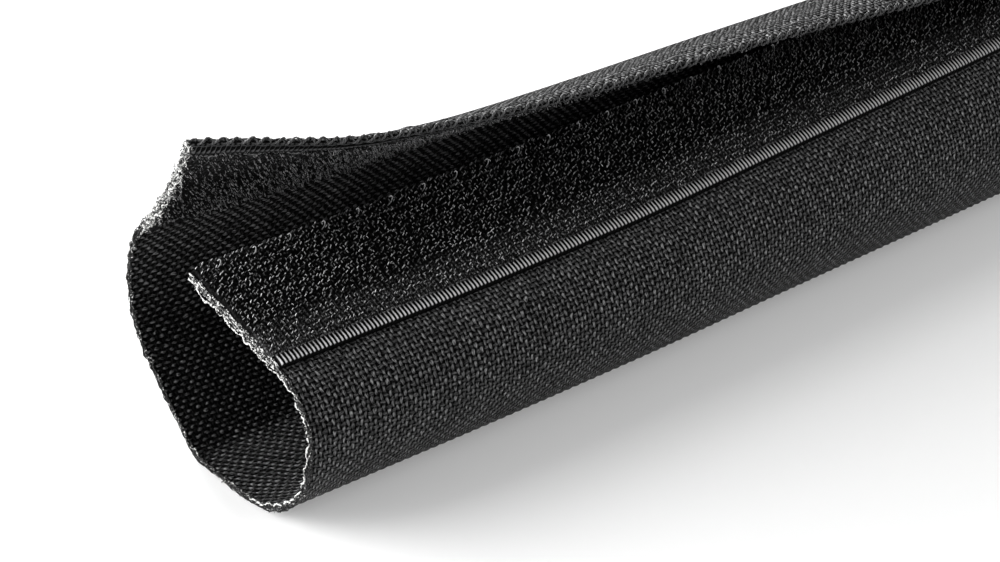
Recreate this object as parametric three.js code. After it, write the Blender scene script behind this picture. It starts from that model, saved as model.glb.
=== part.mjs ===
import * as THREE from 'three';

// A hook and loop cable sleeve. A strip of plain-woven fabric is rolled lengthwise into a tube. A hook tape
// is sewn to the outer face along one long edge, the under flap, and a loop tape to the inner face along
// the other, the outer flap, whose free edge is overlocked. The tube lies on a narrow flat strip. The outer
// flap is peeled open at the mouth and closes over the hooks towards the far end.
//
// Frame: X runs along the sleeve from the mouth, Y across it towards the outer flap's side, Z up.
// Everything is placed on the sheet by its distance across the fabric from the under flap's free edge,
// and by its offset from the middle of the fabric's thickness, positive outwards.

// Fabric, in millimetres
const SLEEVE_LENGTH = 190;
const FABRIC_THICKNESS = 0.7;
const WEAVE_PITCH = 1.75;
const WEAVE_DEPTH = 0.2;

// The closed tube, measured to the middle of the fabric
const UNDER_TURN_RADIUS = 12;
const REST_WIDTH = 5;
const CORNER_RUN = 4;
const CORNER_TURN = 30;
const TAPE_TURN_TIGHTER = 1;
const UNDER_TAPE_BEFORE_TOP = 27.5;
const OUTER_EDGE_PAST_TOP = 27;

// Tapes
const TAPE_WIDTH = 16;
const SELVAGE_WIDTH = 2.2;
const TAPE_GROUND = 0.5;
const HOOK_HEIGHT = 0.5;
const HOOK_ROW_PITCH = 1.6;
const HOOK_ROW_DEPTH = 0.2;
const PILE_HEIGHT = 0.6;
const PILE_TUFT_PITCH = 2.6;
const PILE_TUFT_DEPTH = 0.25;

// Seams and overlocked edge
const SEAM_INSET = 1.7;
const SEAM_THREAD_WIDTH = 0.45;
const SEAM_THREAD_HEIGHT = 0.3;
const STITCH_LENGTH = 4.4;
const OVERLOCK_BITE = 1.2;
const OVERLOCK_THREAD = 0.35;
const OVERLOCK_DIP = 0.15;
const OVERLOCK_PITCH = 4.4;

// Clearances between layers that are sewn together, and between the engaged hooks and loops
const LAYER_GAP = 0.1;
const ENGAGED_GAP = 0.3;

// The open mouth. Each side is a chain of arcs from the flat strip up to its tape: the share of the
// fabric that the arc takes up, and the degrees that it turns. Then each tape has its own turn.
const MOUTH_UNDER_ARCS = [[0.165, 12], [0.54, 82], [0.295, 74]];
const MOUTH_OUTER_ARCS = [[0.07, 39], [0.33, 5], [0.6, 86]];
const MOUTH_UNDER_TAPE_TURN = 0;
const MOUTH_OUTER_TAPE_TURN = -20;

// How far each flap has closed, from 0 to 1, at distances from the mouth
const UNDER_FLAP_CLOSING = [[0, 0], [20, 0], [45, 0.07], [70, 0.28], [95, 0.5], [150, 1]];
const OUTER_FLAP_CLOSING = [[0, 0], [20, 0.35], [45, 0.51], [70, 0.59], [95, 0.71], [150, 1]];

// Fineness of the model
const MOUTH_STRETCH = 26.4;
const MOUTH_STATION_STEP = 3.3;
const STATION_STEP = 7.4;
const COVERED_STEP = 4;
const INTEGRATION_STEP = 0.2;

// Sizes that follow from the ones above
const HOOK_TAPE_THICKNESS = TAPE_GROUND + HOOK_HEIGHT;
const LOOP_TAPE_THICKNESS = TAPE_GROUND + PILE_HEIGHT;
const HALF_FABRIC = FABRIC_THICKNESS / 2;
const LAP_HEIGHT = FABRIC_THICKNESS + HOOK_TAPE_THICKNESS + LOOP_TAPE_THICKNESS + 2 * LAYER_GAP + ENGAGED_GAP;
const cornerCosine = Math.cos(THREE.MathUtils.degToRad(CORNER_TURN));
const OUTER_TURN_RADIUS = UNDER_TURN_RADIUS + LAP_HEIGHT / (1 + cornerCosine);
const TAPE_TURN_RADIUS = UNDER_TURN_RADIUS - TAPE_TURN_TIGHTER;

const underBodyTurn = 180 - UNDER_TAPE_BEFORE_TOP - CORNER_TURN;
const outerBodyTurn = 180 + OUTER_EDGE_PAST_TOP - CORNER_TURN;
const underBodyRun = UNDER_TURN_RADIUS * THREE.MathUtils.degToRad(underBodyTurn);
const outerBodyRun = OUTER_TURN_RADIUS * THREE.MathUtils.degToRad(outerBodyTurn);
const UNDER_SIDE = REST_WIDTH / 2 + CORNER_RUN + underBodyRun + TAPE_WIDTH;
const OUTER_SIDE = REST_WIDTH / 2 + CORNER_RUN + outerBodyRun;
const SHEET_WIDTH = UNDER_SIDE + OUTER_SIDE;
const LOOP_TAPE_START = SHEET_WIDTH - TAPE_WIDTH;

// Chains of arcs, each arc as its run in millimetres and its turn in degrees
function mouthChain(side, arcs, tapeTurn) {
  const free = side - TAPE_WIDTH - REST_WIDTH / 2;
  const body = arcs.map(([share, turn]) => [share * free, turn]);
  return [[REST_WIDTH / 2, 0], ...body, [TAPE_WIDTH, tapeTurn]];
}

const tapeTurn = THREE.MathUtils.radToDeg(TAPE_WIDTH / TAPE_TURN_RADIUS);
const UNDER_FLAP = {
  length: UNDER_SIDE,
  direction: -1,
  open: mouthChain(UNDER_SIDE, MOUTH_UNDER_ARCS, MOUTH_UNDER_TAPE_TURN),
  closed: [[REST_WIDTH / 2, 0], [CORNER_RUN, CORNER_TURN], [underBodyRun, underBodyTurn], [TAPE_WIDTH, tapeTurn]],
  closing: UNDER_FLAP_CLOSING,
};
const OUTER_FLAP = {
  length: OUTER_SIDE,
  direction: 1,
  open: mouthChain(OUTER_SIDE, MOUTH_OUTER_ARCS, MOUTH_OUTER_TAPE_TURN),
  closed: [[REST_WIDTH / 2, 0], [CORNER_RUN, CORNER_TURN], [outerBodyRun, outerBodyTurn]],
  closing: OUTER_FLAP_CLOSING,
};

// The angle, in radians, that a chain of arcs has turned after a run along it
function turnAfter(run, chain) {
  let start = 0;
  let degrees = 0;
  for (const [length, turn] of chain) {
    const covered = THREE.MathUtils.clamp(run - start, 0, length);
    degrees += turn * covered / length;
    start += length;
  }
  return THREE.MathUtils.degToRad(degrees);
}

// A smooth curve through [distance, value] keys that never overshoots them
function throughKeys(keys, distance) {
  const at = THREE.MathUtils.clamp(distance, keys[0][0], keys.at(-1)[0]);
  const slopes = keys.slice(1).map(([x, y], k) => (y - keys[k][1]) / (x - keys[k][0]));
  const tangent = (k) => {
    if (k === 0) return slopes[0];
    if (k === slopes.length || slopes[k - 1] * slopes[k] <= 0) return 0;
    const before = keys[k][0] - keys[k - 1][0];
    const after = keys[k + 1][0] - keys[k][0];
    const weights = (2 * after + before) / slopes[k - 1] + (after + 2 * before) / slopes[k];
    return 3 * (before + after) / weights;
  };
  const k = Math.min(keys.findLastIndex(([x]) => x <= at), slopes.length - 1);
  const span = keys[k + 1][0] - keys[k][0];
  const t = (at - keys[k][0]) / span;
  const fromLeft = (1 + 2 * t) * (1 - t) ** 2 * keys[k][1] + t * (1 - t) ** 2 * span * tangent(k);
  const fromRight = t * t * (3 - 2 * t) * keys[k + 1][1] - t * t * (1 - t) * span * tangent(k + 1);
  return fromLeft + fromRight;
}

// One flap's curve across the sleeve at a distance from the mouth, as points and angles along it
function flapCurve(flap, distance) {
  const closed = throughKeys(flap.closing, distance);
  const steps = Math.ceil(flap.length / INTEGRATION_STEP);
  const step = flap.length / steps;
  const angleAt = (run) => THREE.MathUtils.lerp(turnAfter(run, flap.open), turnAfter(run, flap.closed), closed);
  const curve = [{ across: 0, up: 0, angle: 0 }];
  for (let k = 1; k <= steps; k += 1) {
    const middle = angleAt((k - 0.5) * step);
    const last = curve.at(-1);
    curve.push({
      across: last.across + step * Math.cos(middle),
      up: last.up + step * Math.sin(middle),
      angle: angleAt(k * step),
    });
  }
  return { curve, step };
}

// Values from one end to the other, about a step apart, both ends included
function evenly(from, to, step) {
  const count = Math.max(1, Math.round((to - from) / step));
  return Array.from({ length: count + 1 }, (_, k) => THREE.MathUtils.lerp(from, to, k / count));
}

// The stations along the sleeve, closer together where the flap peels away, each with both flaps' curves
const stationDistances = [
  ...evenly(0, MOUTH_STRETCH, MOUTH_STATION_STEP),
  ...evenly(MOUTH_STRETCH, SLEEVE_LENGTH, STATION_STEP).slice(1),
];
const STATIONS = stationDistances.map((distance) => ({
  distance,
  under: flapCurve(UNDER_FLAP, distance),
  outer: flapCurve(OUTER_FLAP, distance),
}));

// The point of a station's section at a distance across the fabric, moved out by an offset. Past the
// free edges it runs straight on.
function sectionPoint(station, acrossFabric, offset) {
  const onOuter = acrossFabric >= UNDER_SIDE;
  const flap = onOuter ? OUTER_FLAP : UNDER_FLAP;
  const { curve, step } = onOuter ? station.outer : station.under;
  const run = Math.abs(acrossFabric - UNDER_SIDE);
  const place = Math.min(run, flap.length) / step;
  const k = Math.min(Math.floor(place), curve.length - 2);
  const share = place - k;
  const angle = THREE.MathUtils.lerp(curve[k].angle, curve[k + 1].angle, share);
  const beyond = Math.max(run - flap.length, 0);
  const across = THREE.MathUtils.lerp(curve[k].across, curve[k + 1].across, share) + beyond * Math.cos(angle);
  const up = THREE.MathUtils.lerp(curve[k].up, curve[k + 1].up, share) + beyond * Math.sin(angle);
  return new THREE.Vector3(
    station.distance,
    flap.direction * (across + offset * Math.sin(angle)),
    HALF_FABRIC + up - offset * Math.cos(angle),
  );
}

// The same between stations, on the straight line from one to the next
function sheetPoint(distance, acrossFabric, offset) {
  const k = Math.min(stationDistances.findLastIndex((at) => at <= distance), STATIONS.length - 2);
  const share = (distance - stationDistances[k]) / (stationDistances[k + 1] - stationDistances[k]);
  return sectionPoint(STATIONS[k], acrossFabric, offset).lerp(
    sectionPoint(STATIONS[k + 1], acrossFabric, offset),
    share,
  );
}

// A closed solid through a row of rings. Each ring is a closed outline that runs across the fabric on
// its outer side and back on its inner side, so an end is capped by stepping in from the ring's two ends
// across its thickness. Both sides split their squares along the same diagonal, which keeps layers that
// share their points evenly apart where the flap twists.
function loft(rings, outerPoints) {
  const size = rings[0].length;
  const triangles = [];
  for (let ring = 0; ring < rings.length - 1; ring += 1) {
    for (let k = 0; k < size; k += 1) {
      const here = ring * size + k;
      const beside = ring * size + (k + 1) % size;
      if (k < outerPoints) triangles.push(here, beside, beside + size, here, beside + size, here + size);
      else triangles.push(here, beside, here + size, beside, beside + size, here + size);
    }
  }
  const capEnd = (ring, facesMouth) => {
    const outline = rings[ring];
    let fromStart = 0;
    let fromEnd = size - 1;
    while (fromEnd - fromStart > 1) {
      const stepForward = outline[fromStart + 1].distanceTo(outline[fromEnd]);
      const stepBack = outline[fromStart].distanceTo(outline[fromEnd - 1]);
      const next = stepForward <= stepBack ? fromStart + 1 : fromEnd - 1;
      const corners = facesMouth ? [fromStart, fromEnd, next] : [fromStart, next, fromEnd];
      triangles.push(...corners.map((k) => ring * size + k));
      if (stepForward <= stepBack) fromStart = next;
      else fromEnd = next;
    }
  };
  capEnd(0, true);
  capEnd(rings.length - 1, false);
  const geometry = new THREE.BufferGeometry();
  geometry.setAttribute('position', new THREE.Float32BufferAttribute(rings.flat().flatMap((p) => p.toArray()), 3));
  geometry.setIndex(triangles);
  geometry.computeVertexNormals();
  return geometry;
}

// A run of points across the fabric at one height, with every other point lowered, and the rows of
// points staggered from one station to the next. The two ends stay at full height.
function textured(from, to, step, depth) {
  const places = evenly(from, to, step);
  return places.map((across, k) => {
    const isEnd = k === 0 || k === places.length - 1;
    return { across, lowered: (station) => (isEnd || (k + station) % 2 === 0 ? 0 : depth) };
  });
}

function plain(from, to, step) {
  return evenly(from, to, step).map((across) => ({ across, lowered: () => 0 }));
}

// A solid through every station between the points of an outer face and of an inner face
function loftFaces(outerFace, innerFace) {
  const rings = STATIONS.map((station, k) => [
    ...outerFace.map(({ across, offset, lowered }) => sectionPoint(station, across, offset - lowered(k))),
    ...innerFace.map(({ across, offset, lowered }) => sectionPoint(station, across, offset + lowered(k))).reverse(),
  ]);
  return loft(rings, outerFace.length);
}

function atOffset(points, offset) {
  return points.map((point) => ({ ...point, offset }));
}

// The woven sheet: relief on both faces, smooth under the tapes and where it is pressed flat
function sleeveFabric() {
  const restStart = UNDER_SIDE - REST_WIDTH / 2;
  const restEnd = UNDER_SIDE + REST_WIDTH / 2;
  const outerFace = [
    ...plain(0, TAPE_WIDTH, COVERED_STEP).slice(0, -1),
    ...textured(TAPE_WIDTH, restStart, WEAVE_PITCH, WEAVE_DEPTH),
    ...textured(restEnd, SHEET_WIDTH, WEAVE_PITCH, WEAVE_DEPTH),
  ];
  const innerFace = [
    ...textured(0, restStart, WEAVE_PITCH, WEAVE_DEPTH),
    ...textured(restEnd, LOOP_TAPE_START, WEAVE_PITCH, WEAVE_DEPTH).slice(0, -1),
    ...plain(LOOP_TAPE_START, SHEET_WIDTH, COVERED_STEP),
  ];
  return loftFaces(atOffset(outerFace, HALF_FABRIC), atOffset(innerFace, -HALF_FABRIC));
}

// A tape's face away from the fabric: thin selvages, and a raised field of hooks or pile between them
function tapeFace(from, fieldHeight, pitch, depth) {
  const to = from + TAPE_WIDTH;
  const field = textured(from + SELVAGE_WIDTH, to - SELVAGE_WIDTH, pitch, depth);
  const selvage = (a, b) => plain(a, b, SELVAGE_WIDTH);
  return [
    ...selvage(from, from + SELVAGE_WIDTH).map((point) => ({ ...point, height: TAPE_GROUND })),
    ...field.map((point) => ({ ...point, height: TAPE_GROUND + fieldHeight })),
    ...selvage(to - SELVAGE_WIDTH, to).map((point) => ({ ...point, height: TAPE_GROUND })),
  ];
}

function hookTape() {
  const seat = HALF_FABRIC + LAYER_GAP;
  const face = tapeFace(0, HOOK_HEIGHT, HOOK_ROW_PITCH, HOOK_ROW_DEPTH);
  const outerFace = face.map((point) => ({ ...point, offset: seat + point.height }));
  return loftFaces(outerFace, atOffset(plain(0, TAPE_WIDTH, COVERED_STEP), seat));
}

function loopTape() {
  const seat = HALF_FABRIC + LAYER_GAP;
  const face = tapeFace(LOOP_TAPE_START, PILE_HEIGHT, PILE_TUFT_PITCH, PILE_TUFT_DEPTH);
  const innerFace = face.map((point) => ({ ...point, offset: -seat - point.height }));
  return loftFaces(atOffset(plain(LOOP_TAPE_START, SHEET_WIDTH, COVERED_STEP), -seat), innerFace);
}

// A seam thread lying on a tape's selvage. Each stitch swells between two needle holes. The side is 1
// on the outer face and -1 on the inner face.
function seamThread(acrossFabric, side) {
  const seat = HALF_FABRIC + TAPE_GROUND + 2 * LAYER_GAP;
  const halves = 2 * Math.round(SLEEVE_LENGTH / STITCH_LENGTH);
  const rings = Array.from({ length: halves + 1 }, (_, k) => {
    const distance = SLEEVE_LENGTH * k / halves;
    const height = k % 2 === 0 ? SEAM_THREAD_HEIGHT / 2 : SEAM_THREAD_HEIGHT;
    const left = sheetPoint(distance, acrossFabric - SEAM_THREAD_WIDTH / 2, side * seat);
    const crown = sheetPoint(distance, acrossFabric, side * (seat + height));
    const right = sheetPoint(distance, acrossFabric + SEAM_THREAD_WIDTH / 2, side * seat);
    return side > 0 ? [left, crown, right] : [left, right, crown];
  });
  return loft(rings, side > 0 ? 3 : 2);
}

// The overlocking threads, as one channel wrapped around the outer flap's edge and its tape
function overlockEdge() {
  const outerSeat = HALF_FABRIC + LAYER_GAP;
  const innerSeat = -(HALF_FABRIC + TAPE_GROUND + 2 * LAYER_GAP);
  const legStart = SHEET_WIDTH - OVERLOCK_BITE;
  const webSeat = SHEET_WIDTH + LAYER_GAP;
  const halves = 2 * Math.round(SLEEVE_LENGTH / OVERLOCK_PITCH);
  const rings = Array.from({ length: halves + 1 }, (_, k) => {
    const distance = SLEEVE_LENGTH * k / halves;
    const thread = k % 2 === 0 ? OVERLOCK_THREAD - OVERLOCK_DIP : OVERLOCK_THREAD;
    const outline = [
      [legStart, outerSeat + thread],
      [webSeat + thread, outerSeat + thread],
      [webSeat + thread, innerSeat - thread],
      [legStart, innerSeat - thread],
      [legStart, innerSeat],
      [webSeat, innerSeat],
      [webSeat, outerSeat],
      [legStart, outerSeat],
    ];
    return outline.map(([across, offset]) => sheetPoint(distance, across, offset));
  });
  return loft(rings, rings[0].length / 2);
}

function piece(name, geometry, color, roughness) {
  const mesh = new THREE.Mesh(geometry, new THREE.MeshStandardMaterial({ color, roughness, metalness: 0 }));
  mesh.name = name;
  return mesh;
}

const sleeve = new THREE.Group();
sleeve.add(
  piece('sleeve_fabric', sleeveFabric(), 0x1d1d1e, 0.75),
  piece('hook_tape', hookTape(), 0x161617, 0.5),
  piece('loop_tape', loopTape(), 0x1b1b1c, 0.95),
  piece('hook_tape_stitching_edge', seamThread(SEAM_INSET, 1), 0x2a2a2b, 0.5),
  piece('hook_tape_stitching_selvage', seamThread(TAPE_WIDTH - SEAM_INSET, 1), 0x2a2a2b, 0.5),
  piece('loop_tape_stitching_inner', seamThread(LOOP_TAPE_START + SEAM_INSET, -1), 0x2a2a2b, 0.5),
  piece('loop_tape_stitching_edge', seamThread(SHEET_WIDTH - SEAM_INSET, -1), 0x2a2a2b, 0.5),
  piece('overlock_edge_thread', overlockEdge(), 0x222223, 0.6),
);
sleeve.position.x = -SLEEVE_LENGTH / 2;

export default sleeve;
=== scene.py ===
# %% [markdown]
# # A hook and loop cable sleeve, peeled open at one end
#
# The real sleeve is one strip of woven synthetic cloth, rolled lengthwise into a tube. A hook tape is
# sewn along one long edge and a loop tape along the other. Cloth like this could be simulated, but the
# sleeve is springy and holds its roll, so each surface here is worked out as a formula of two numbers:
# how far along the sleeve a point is, and how far across the cloth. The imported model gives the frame,
# and every visible surface is made around it.

# %% Load the frame
import math

import bpy
import numpy as np
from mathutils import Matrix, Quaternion, Vector


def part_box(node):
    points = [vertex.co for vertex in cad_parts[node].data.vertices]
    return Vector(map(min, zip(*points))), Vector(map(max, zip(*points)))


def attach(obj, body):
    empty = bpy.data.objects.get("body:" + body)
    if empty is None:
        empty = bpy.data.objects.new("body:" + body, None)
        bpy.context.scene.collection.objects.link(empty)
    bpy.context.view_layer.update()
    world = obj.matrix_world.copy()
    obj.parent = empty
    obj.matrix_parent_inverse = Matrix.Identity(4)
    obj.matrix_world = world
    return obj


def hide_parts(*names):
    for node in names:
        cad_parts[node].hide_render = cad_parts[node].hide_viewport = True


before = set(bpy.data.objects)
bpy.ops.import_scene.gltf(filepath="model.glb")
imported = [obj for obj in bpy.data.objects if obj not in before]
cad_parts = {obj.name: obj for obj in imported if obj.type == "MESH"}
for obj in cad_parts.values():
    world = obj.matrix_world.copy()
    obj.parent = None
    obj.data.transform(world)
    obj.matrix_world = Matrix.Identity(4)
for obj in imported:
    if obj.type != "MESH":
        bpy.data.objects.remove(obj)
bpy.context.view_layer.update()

print("frame nodes:", sorted(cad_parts))

# %% [markdown]
# ## Sizes
#
# Lengths are in millimetres here and become metres where a mesh is made. The sleeve's length is read
# from the frame. The chains of arcs are the same ones that the solid model is built on, so the cloth
# lies where its solid does.

# %% Driving sizes
MM = 0.001
fabric_low, fabric_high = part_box("sleeve_fabric")
MOUTH_X = fabric_low.x / MM
SLEEVE_LENGTH = (fabric_high.x - fabric_low.x) / MM

FABRIC_THICKNESS = 0.7
HALF_FABRIC = FABRIC_THICKNESS / 2
UNDER_TURN_RADIUS = 12.0
REST_WIDTH = 5.0
CORNER_RUN = 4.0
CORNER_TURN = 30.0
TAPE_TURN_TIGHTER = 1.0
UNDER_TAPE_BEFORE_TOP = 27.5
OUTER_EDGE_PAST_TOP = 27.0

TAPE_WIDTH = 16.0
SELVAGE_WIDTH = 2.2
TAPE_GROUND = 0.5
HOOK_HEIGHT = 0.5
PILE_HEIGHT = 0.6
LAYER_GAP = 0.1
ENGAGED_GAP = 0.3

SEAM_INSET = 1.7
STITCH_LENGTH = 4.4

MOUTH_UNDER_ARCS = [(0.165, 12), (0.54, 82), (0.295, 74)]
MOUTH_OUTER_ARCS = [(0.07, 39), (0.33, 5), (0.6, 86)]
MOUTH_UNDER_TAPE_TURN = 0
MOUTH_OUTER_TAPE_TURN = -20
UNDER_FLAP_CLOSING = [(0, 0), (20, 0), (45, 0.07), (70, 0.28), (95, 0.5), (150, 1)]
OUTER_FLAP_CLOSING = [(0, 0), (20, 0.35), (45, 0.51), (70, 0.59), (95, 0.71), (150, 1)]

layers = FABRIC_THICKNESS + 2 * TAPE_GROUND + HOOK_HEIGHT + PILE_HEIGHT + 2 * LAYER_GAP + ENGAGED_GAP
OUTER_TURN_RADIUS = UNDER_TURN_RADIUS + layers / (1 + math.cos(math.radians(CORNER_TURN)))
under_body_turn = 180 - UNDER_TAPE_BEFORE_TOP - CORNER_TURN
outer_body_turn = 180 + OUTER_EDGE_PAST_TOP - CORNER_TURN
under_body_run = UNDER_TURN_RADIUS * math.radians(under_body_turn)
outer_body_run = OUTER_TURN_RADIUS * math.radians(outer_body_turn)
UNDER_SIDE = REST_WIDTH / 2 + CORNER_RUN + under_body_run + TAPE_WIDTH
OUTER_SIDE = REST_WIDTH / 2 + CORNER_RUN + outer_body_run
SHEET_WIDTH = UNDER_SIDE + OUTER_SIDE
LOOP_TAPE_START = SHEET_WIDTH - TAPE_WIDTH
print(f"sleeve {SLEEVE_LENGTH:.1f} mm long, sheet {SHEET_WIDTH:.2f} mm wide")

# %% [markdown]
# ## The rolled sheet
#
# On each side of the flat strip that it rests on, the cloth's cross-section is a chain of arcs. One chain
# describes the peeled mouth and another the closed tube, and the section between them mixes the two
# angles, not the points, so the cloth keeps its width and never stretches. Adding up short straight steps
# at those angles gives the curve. The whole table is worked out once, and every piece reads it.

# %% The section's angles
TABLE_STEP_ALONG = 1.0
TABLE_STEP_ACROSS = 0.2


def turn_after(run, chain):
    """Radians turned after a run along a chain of (length, degrees) arcs: each arc turns evenly."""
    lengths, turns = np.array(chain, float).T
    joints = np.concatenate([[0], np.cumsum(lengths)])
    angles = np.concatenate([[0], np.cumsum(turns)])
    return np.radians(np.interp(run, joints, angles))


def through_keys(keys, distance):
    """A monotone cubic through (distance, value) keys: Hermite pieces whose slopes are harmonic means."""
    at, value = np.array(keys, float).T
    span = np.diff(at)
    slope = np.diff(value) / span
    before, after = span[:-1], span[1:]
    rising = slope[:-1] * slope[1:] > 0
    weights = (2 * after + before) / np.where(rising, slope[:-1], 1) + (after + 2 * before) / np.where(
        rising, slope[1:], 1
    )
    tangent = np.zeros(len(at))
    tangent[0] = slope[0]
    tangent[1:-1] = np.where(rising, 3 * (before + after) / weights, 0)
    place = np.clip(distance, at[0], at[-1])
    k = np.clip(np.searchsorted(at, place, side="right") - 1, 0, len(span) - 1)
    t = (place - at[k]) / span[k]
    left = (1 + 2 * t) * (1 - t) ** 2 * value[k] + t * (1 - t) ** 2 * span[k] * tangent[k]
    right = t * t * (3 - 2 * t) * value[k + 1] - t * t * (1 - t) * span[k] * tangent[k + 1]
    return left + right


def mouth_chain(side, arcs, tape_turn):
    """The open chain: the flat strip, the arcs by their share of the bare cloth, and then the tape."""
    free = side - TAPE_WIDTH - REST_WIDTH / 2
    return [(REST_WIDTH / 2, 0)] + [(share * free, turn) for share, turn in arcs] + [(TAPE_WIDTH, tape_turn)]


def flap_table(side, opened, closed, closing):
    """Across, up and angle of one flap at every station and step: cosine and sine of the angle, summed."""
    steps = math.ceil(side / TABLE_STEP_ACROSS)
    runs = np.linspace(0, side, steps + 1)
    middles = (runs[:-1] + runs[1:]) / 2
    stations = np.arange(0, SLEEVE_LENGTH + TABLE_STEP_ALONG, TABLE_STEP_ALONG)
    share = through_keys(closing, stations)[:, None]
    angle = turn_after(runs, opened) * (1 - share) + turn_after(runs, closed) * share
    middle = turn_after(middles, opened) * (1 - share) + turn_after(middles, closed) * share
    start = np.zeros((len(stations), 1))
    across = np.hstack([start, np.cumsum(np.cos(middle), axis=1)]) * side / steps
    up = np.hstack([start, np.cumsum(np.sin(middle), axis=1)]) * side / steps
    return {"side": side, "steps": steps, "table": np.stack([across, up, angle])}


tape_turn_radius = UNDER_TURN_RADIUS - TAPE_TURN_TIGHTER
corner = [(REST_WIDTH / 2, 0), (CORNER_RUN, CORNER_TURN)]
under_flap = flap_table(
    UNDER_SIDE,
    mouth_chain(UNDER_SIDE, MOUTH_UNDER_ARCS, MOUTH_UNDER_TAPE_TURN),
    corner + [(under_body_run, under_body_turn), (TAPE_WIDTH, math.degrees(TAPE_WIDTH / tape_turn_radius))],
    UNDER_FLAP_CLOSING,
)
outer_flap = flap_table(
    OUTER_SIDE,
    mouth_chain(OUTER_SIDE, MOUTH_OUTER_ARCS, MOUTH_OUTER_TAPE_TURN),
    corner + [(outer_body_run, outer_body_turn)],
    OUTER_FLAP_CLOSING,
)
print("section table:", under_flap["table"].shape, outer_flap["table"].shape)

# %% A point on the sheet


def read_table(flap, along, run):
    """Bilinear reading of a flap's table, as an array with across, up and angle first."""
    table = flap["table"]
    row = np.clip(along / TABLE_STEP_ALONG, 0, table.shape[1] - 1.001)
    column = np.clip(run / flap["side"] * flap["steps"], 0, flap["steps"] - 0.001)
    i, j = row.astype(int), column.astype(int)
    a, b = row - i, column - j
    first = table[:, i, j] * (1 - b) + table[:, i, j + 1] * b
    second = table[:, i + 1, j] * (1 - b) + table[:, i + 1, j + 1] * b
    return first * (1 - a) + second * a


def on_sheet(along, across_cloth, offset):
    """The point at a distance from the mouth and across the cloth, moved out along its normal by offset.

    The normal is (sin a, -cos a) of the section's angle a, mirrored on the under flap. Past a free edge
    the sheet runs straight on.
    """
    along, across_cloth, offset = np.broadcast_arrays(along, across_cloth, offset)
    run = np.abs(across_cloth - UNDER_SIDE)
    is_outer = across_cloth >= UNDER_SIDE
    outer_reading = read_table(outer_flap, along, run)
    under_reading = read_table(under_flap, along, run)
    across, up, angle = np.where(is_outer, outer_reading, under_reading)
    beyond = np.maximum(run - np.where(is_outer, OUTER_SIDE, UNDER_SIDE), 0)
    y = across + beyond * np.cos(angle) + offset * np.sin(angle)
    z = HALF_FABRIC + up + beyond * np.sin(angle) - offset * np.cos(angle)
    return np.stack([MOUTH_X + along, np.where(is_outer, y, -y), z], axis=-1)


def axes_on_sheet(along, across_cloth):
    """Unit vectors out of the cloth, along the sleeve and across it, from small steps on the sheet."""
    here = on_sheet(along, across_cloth, 0.0)
    out = on_sheet(along, across_cloth, 1.0) - here
    lengthwise = np.array([1.0, 0.0, 0.0]) + 0 * out
    crosswise = np.cross(lengthwise, out)
    return out, lengthwise, crosswise


rim = on_sheet(np.zeros(3), np.array([0.0, UNDER_SIDE, SHEET_WIDTH]), 0.0)
print("mouth: under flap tip, resting point and outer flap tip", np.round(rim, 1).tolist())

# %% [markdown]
# ## Camera, floor and light
#
# The photograph looks down on the mouth from the left with a long lens, slightly rolled. The sleeve lies
# on white, so the floor is a pale matt sheet that keeps the soft shadow. Near-black cloth shows its weave
# only by what it mirrors, so a broad lamp stands behind and above it, which also throws the shadow
# forwards, and a weaker one lights the side that faces the camera.

# %% Camera
IMAGE_WIDTH = 1000
FOCAL_PIXELS = 3553.0
CAMERA_AZIMUTH = math.radians(-40.49)
CAMERA_ELEVATION = math.radians(31.87)
CAMERA_ROLL = math.radians(2.71)
CAMERA_DISTANCE = 383.1
AIM = np.array([MOUTH_X + 35.94, -1.89, 12.0])

camera_data = bpy.data.cameras.new("camera")
camera = bpy.data.objects.new("camera", camera_data)
bpy.context.scene.collection.objects.link(camera)
bpy.context.scene.camera = camera
camera_data.sensor_width = 36.0
camera_data.lens = FOCAL_PIXELS / IMAGE_WIDTH * camera_data.sensor_width
camera_data.clip_start = 0.01
back = np.array(
    [
        math.sin(CAMERA_AZIMUTH) * math.cos(CAMERA_ELEVATION),
        -math.cos(CAMERA_AZIMUTH) * math.cos(CAMERA_ELEVATION),
        math.sin(CAMERA_ELEVATION),
    ]
)
camera.location = (AIM + back * CAMERA_DISTANCE) * MM
camera.rotation_euler = (math.pi / 2 - CAMERA_ELEVATION, 0.0, CAMERA_AZIMUTH)
rolled = camera.rotation_euler.to_quaternion() @ Quaternion((0, 0, 1), CAMERA_ROLL)
camera.rotation_mode = "QUATERNION"
camera.rotation_quaternion = rolled
print(f"lens {camera_data.lens:.1f} mm, {CAMERA_DISTANCE:.0f} mm from its aim")
bpy.context.scene.view_settings.view_transform = "Standard"

# %% Adding a node, and colours
MATH = "ShaderNodeMath"
MIX = "ShaderNodeMix"
RANGE = "ShaderNodeMapRange"
NOISE = "ShaderNodeTexNoise"
PRINCIPLED = "ShaderNodeBsdfPrincipled"


def add(tree, kind, inputs=(), **settings):
    """Adds one node and returns its first output, or the node itself where it has none.

    The inputs are a list in socket order or a dict by socket name, of numbers, colours or outputs.
    """
    node = tree.nodes.new(kind)
    for name, value in settings.items():
        setattr(node, name, value)
    for key, value in inputs.items() if isinstance(inputs, dict) else enumerate(inputs):
        if isinstance(value, bpy.types.NodeSocket):
            tree.links.new(value, node.inputs[key])
        else:
            node.inputs[key].default_value = value
    shown = [output for output in node.outputs if output.enabled]
    return shown[0] if shown else node


def linear(hex_colour):
    """A linear colour from an sRGB hex string, by the sRGB curve."""
    srgb = np.array([int(hex_colour[k : k + 2], 16) for k in (1, 3, 5)]) / 255
    values = np.where(srgb <= 0.04045, srgb / 12.92, ((srgb + 0.055) / 1.055) ** 2.4)
    return (*values.tolist(), 1.0)


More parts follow.
